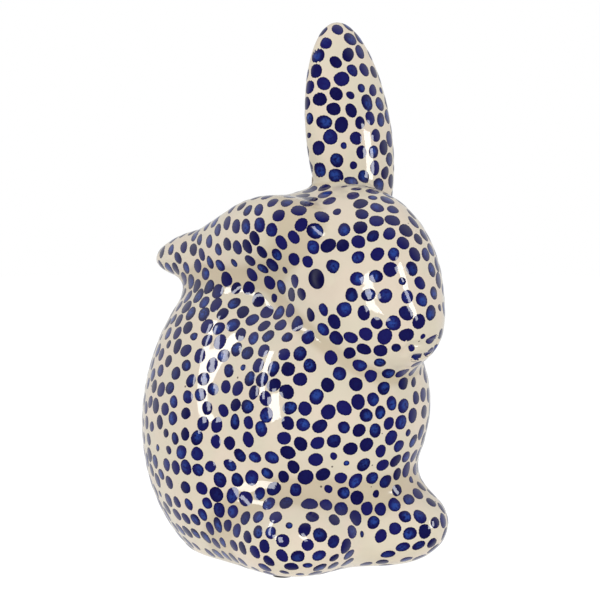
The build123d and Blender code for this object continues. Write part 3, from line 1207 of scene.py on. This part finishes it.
# %% [markdown]
# ## Felt pads
#
# Four discs punched from felt, on the unglazed base. Their cut edge is a little soft, and no
# punch leaves it quite round.

# %% Felt discs
pad_corners = 64
pad_profile = [(0.0, 1.0), (0.45, 1.0), (0.8, 1.0), (0.95, 0.99), (1.0, 0.86), (0.99, 0.5),
               (1.0, 0.14), (0.95, 0.01), (0.8, 0.0), (0.45, 0.0), (0.0, 0.0)]
edge_share = 0.9
least_round_share = 0.985

disc_points, disc_faces, _ = turned_form(pad_profile, pad_corners)
for number in range(1, 5):
    name = f"felt_pad_{number}"
    low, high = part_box(name)
    centre = (low + high) / 2
    radius = (high.x - low.x) / 2
    wobble = np.random.default_rng(number).uniform(least_round_share, 1.0, pad_corners)
    cut = np.concatenate([wobble if share > edge_share else np.ones(pad_corners if share else 1)
                          for share, _ in pad_profile]) * radius
    x, y, height = np.array(disc_points).T
    disc = new_object(name + "_felt", np.stack([
        centre.x + x * cut, centre.y + y * cut, low.z + height * (high.z - low.z)], 1), disc_faces)
    disc.data.polygons.foreach_set("use_smooth", [True] * len(disc.data.polygons))
    disc.data.materials.append(felt)
    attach(disc, "root")
    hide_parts(name)
    print(name, "is", round(2000 * radius, 1), "mm across")

# %% [markdown]
# ## Floor
#
# A round white card. To the camera it mostly glows, so that it melts into the background and
# keeps only a soft shadow under the figure. It stays out of the glaze's reflections. A faint
# glow of its own brightens the underside of the belly, as a big white table would.

# %% Floor
floor_radius = 1.2
floor_corners = 64
glow_from = 0.12
glow_to = 0.5
floor_glow = 0.35
floor_shine = 1.14
shine_share = 0.8

floor = new_object("floor", [(math.cos(turn) * floor_radius, math.sin(turn) * floor_radius, 0)
                             for turn in np.linspace(0, 2 * math.pi, floor_corners,
                                                     endpoint=False)],
                   [tuple(range(floor_corners))])
floor.visible_glossy = False
white, tree = new_material("white_card")
card = add(tree, "ShaderNodeBsdfDiffuse", Color=linear("#f4f4f4"))
aside = add(tree, "ShaderNodeVectorMath", add(tree, "ShaderNodeTexCoord", out="Object"),
            operation="LENGTH")
glow = add(tree, "ShaderNodeMapRange", aside, glow_from, glow_to, floor_glow, 0.0, **soft)
glow = add(tree, "ShaderNodeEmission", Strength=glow)
card = add(tree, "ShaderNodeAddShader", card, glow)
shine = add(tree, "ShaderNodeEmission", Strength=floor_shine)
seen = add(tree, "ShaderNodeLightPath", out="Is Camera Ray")
seen = add(tree, "ShaderNodeMath", seen, shine_share, operation="MULTIPLY")
card = add(tree, "ShaderNodeMixShader", seen, card, shine)
add(tree, "ShaderNodeOutputMaterial", Surface=card)
floor.data.materials.append(white)
print("the card is", 2 * floor_radius, "m across")

# %% [markdown]
# ## The room
#
# Soft light comes from all around, most of it from the front right and a little from below,
# so that the figure's left flank shades off. The glaze shows a darker room in front, which
# keeps the cobalt deep, and a paler wall behind that veils the dabs near the outline. The
# camera sees plain white.

# %% World
lit_way = (-0.515, -0.857, -0.45)
light_behind = 0.32
light_ahead = 1.37
shine_range = (-0.6, 0.3)
shine_behind = 0.8
shine_ahead = 0.05

world = bpy.data.worlds.new("studio")
bpy.context.scene.world = world
world.use_nodes = True
world.node_tree.nodes.clear()
tree = world.node_tree
way = add(tree, "ShaderNodeTexCoord", out="Generated")
facing = add(tree, "ShaderNodeVectorMath", way, lit_way, operation="DOT_PRODUCT")
light = add(tree, "ShaderNodeMapRange", facing, -1.0, 1.0, light_behind, light_ahead)
shine = add(tree, "ShaderNodeMapRange", facing, *shine_range, shine_behind, shine_ahead, **soft)
lamps = add(tree, "ShaderNodeBackground", (1, 1, 1, 1), light)
room = add(tree, "ShaderNodeBackground", (1, 1, 1, 1), shine)
back = add(tree, "ShaderNodeBackground", (1, 1, 1, 1), 1.0)
in_glaze = add(tree, "ShaderNodeLightPath", out="Is Glossy Ray")
to_camera = add(tree, "ShaderNodeLightPath", out="Is Camera Ray")
lit = add(tree, "ShaderNodeMixShader", in_glaze, lamps, room)
lit = add(tree, "ShaderNodeMixShader", to_camera, lit, back)
add(tree, "ShaderNodeOutputWorld", Surface=lit)
print("light goes from", light_behind, "to", light_ahead)

# %% [markdown]
# ## Camera
#
# It stands to the rabbit's right and a little above, and its long lens keeps the form plain.

# %% Camera
view_azimuth = math.radians(-31)
view_height = math.radians(8)
view_distance = 1.9
seen_width = 0.33
target = Vector((0.0029, -0.00175, 0.1434)) + moved

back_way = Vector((math.sin(view_azimuth) * math.cos(view_height),
                   -math.cos(view_azimuth) * math.cos(view_height), math.sin(view_height)))
right_way = Vector((math.cos(view_azimuth), math.sin(view_azimuth), 0))
up_way = back_way.cross(right_way)
camera_data = bpy.data.cameras.new("camera")
camera_data.sensor_width = 36
camera_data.lens = camera_data.sensor_width * view_distance / seen_width
camera = bpy.data.objects.new("camera", camera_data)
bpy.context.scene.collection.objects.link(camera)
camera.location = target + back_way * view_distance
camera.rotation_mode = "QUATERNION"
camera.rotation_quaternion = (-back_way).to_track_quat("-Z", "Y")
bpy.context.scene.camera = camera
bpy.context.scene.view_settings.view_transform = "Standard"
print("the lens is", round(camera_data.lens), "mm long")

# %% [markdown]
# ## Windows in the glaze
#
# Glazed ware shows the windows of the room as long white streaks. Each is an area lamp that
# only shows in the shine. It is linked to the castings that it should show on, because a
# window that is blocked in a real room would otherwise streak all of them.

# %% Windows
lamp_distance = 1.1
lamp_glow = 10
daylight = (0.96, 0.97, 1.0)


def window(name, aside, above, wide, high, lean, shown_on):
    """A lit window in the shine only. Its place, size and lean are angles seen from the
    figure, in degrees, aside from the camera and above it."""
    aside, above = math.radians(aside), math.radians(above)
    way = (right_way * math.sin(aside) * math.cos(above) + up_way * math.sin(above)
           + back_way * math.cos(aside) * math.cos(above))
    data = bpy.data.lights.new(name, "AREA")
    data.shape = "RECTANGLE"
    data.size = 2 * lamp_distance * math.tan(math.radians(wide / 2))
    data.size_y = 2 * lamp_distance * math.tan(math.radians(high / 2))
    data.energy = lamp_glow * math.pi * data.size * data.size_y
    data.color = daylight
    lamp = bpy.data.objects.new(name, data)
    bpy.context.scene.collection.objects.link(lamp)
    lamp.location = target + way * lamp_distance
    sideways = up_way.cross(way).normalized()
    axes = Matrix((sideways, way.cross(sideways), way)).transposed()
    lamp.rotation_mode = "QUATERNION"
    lamp.rotation_quaternion = (axes @ Matrix.Rotation(math.radians(lean), 3, "Z")).to_quaternion()
    lamp.visible_diffuse = False
    shown = bpy.data.collections.new(name + "_shown_on")
    for casting in shown_on:
        for coat in ("_glazed", "_dabs"):
            shown.objects.link(bpy.data.objects[casting + coat])
    lamp.light_linking.receiver_collection = shown


low_castings = ("body_casting", "right_foot", "left_foot", "tail")
window("left_window", -73, 18, 6, 40, 15, low_castings)
window("low_left_window", -52, -8, 12, 22, 10, low_castings)
window("near_window", -8, 2, 11, 24, 28, ("head_casting", "right_foot", "left_foot"))
window("near_right_window", 42, 12, 9, 20, 25, ("head_casting",))
window("right_window", 76, -2, 10, 24, 0, ("upright_ear", "left_foot"))
